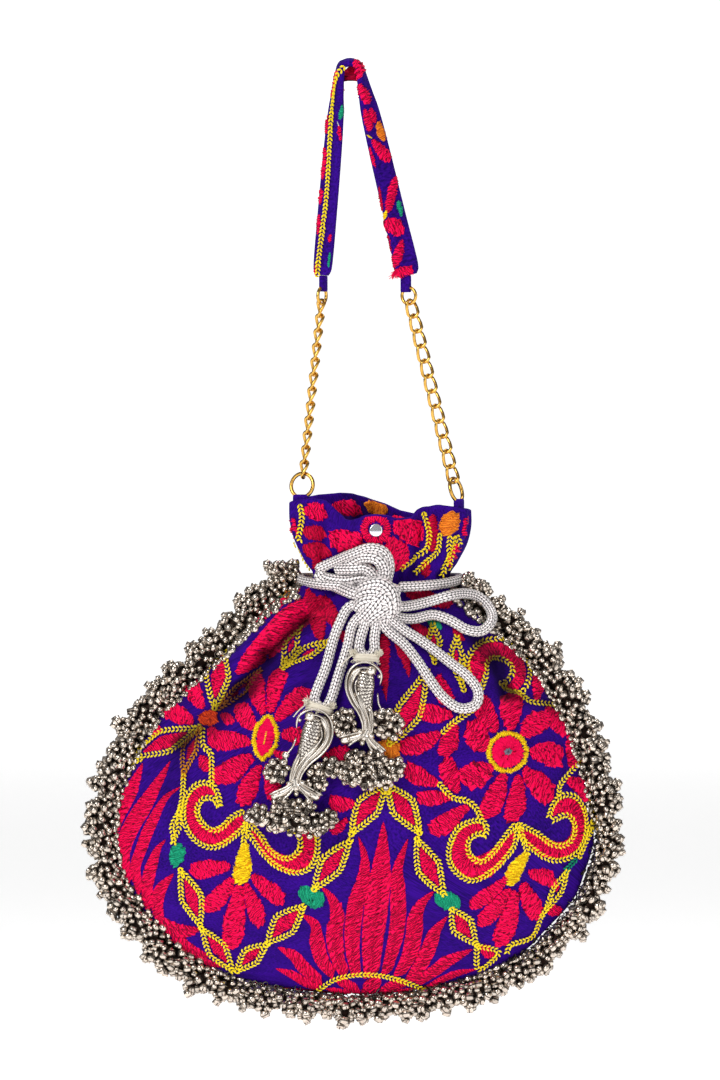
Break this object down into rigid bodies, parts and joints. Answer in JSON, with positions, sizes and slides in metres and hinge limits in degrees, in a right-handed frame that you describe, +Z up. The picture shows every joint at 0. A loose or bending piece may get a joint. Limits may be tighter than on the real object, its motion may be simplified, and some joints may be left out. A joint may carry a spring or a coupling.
{
  "type": "reticule",
  "caption": "Embroidered drawstring pouch bag with a bell-bunch edge, a knitted cord tied in a bow with cast bird charms, and a fabric and chain handle, shown hanging.",
  "frame": {"origin": "inside top of the handle's strap, where a peg or a hand carries the bag", "axes": "+Z up, front towards -Y, +X to the viewer's right when looking at the front"},
  "size_m": [0.2447, 0.0869, 0.4297],
  "materials": {
    "embroidered_fabric": "satin-stitched",
    "silver_bells": "antique",
    "knitted_cord": "metallic thread",
    "binding_thread": "matte",
    "cast_silver": "antique",
    "gold_metal": "polished",
    "mirror_glass": "polished"
  },
  "bodies": {
    "root": {"bells_left_fan": "silver_bells", "bells_left_side_a": "silver_bells", "bells_left_side_b": "silver_bells", "bells_short_fan": "silver_bells", "bells_short_side_a": "silver_bells", "bells_short_side_b": "silver_bells", "binding_left": "binding_thread", "binding_short": "binding_thread", "chain_left": "gold_metal", "chain_right": "gold_metal", "charm_left": "cast_silver", "charm_short": "cast_silver", "cord_band": "knitted_cord", "cord_knot": "knitted_cord", "cord_loop_left": "knitted_cord", "cord_loop_lower": "knitted_cord", "cord_loop_upper": "knitted_cord", "cord_tail_left": "knitted_cord", "cord_tail_short": "knitted_cord", "mirror_mouth": "mirror_glass", "pouch_back": "embroidered_fabric", "pouch_front": "embroidered_fabric", "ring_mouth_left": "gold_metal", "ring_mouth_right": "gold_metal", "ring_strap_left": "gold_metal", "ring_strap_right": "gold_metal", "strap": "embroidered_fabric", "tab_mouth_left": "embroidered_fabric", "tab_mouth_right": "embroidered_fabric", "tab_strap_left": "embroidered_fabric", "tab_strap_right": "embroidered_fabric", "trim_left": "silver_bells", "trim_right": "silver_bells"}
  },
  "joints": []
}
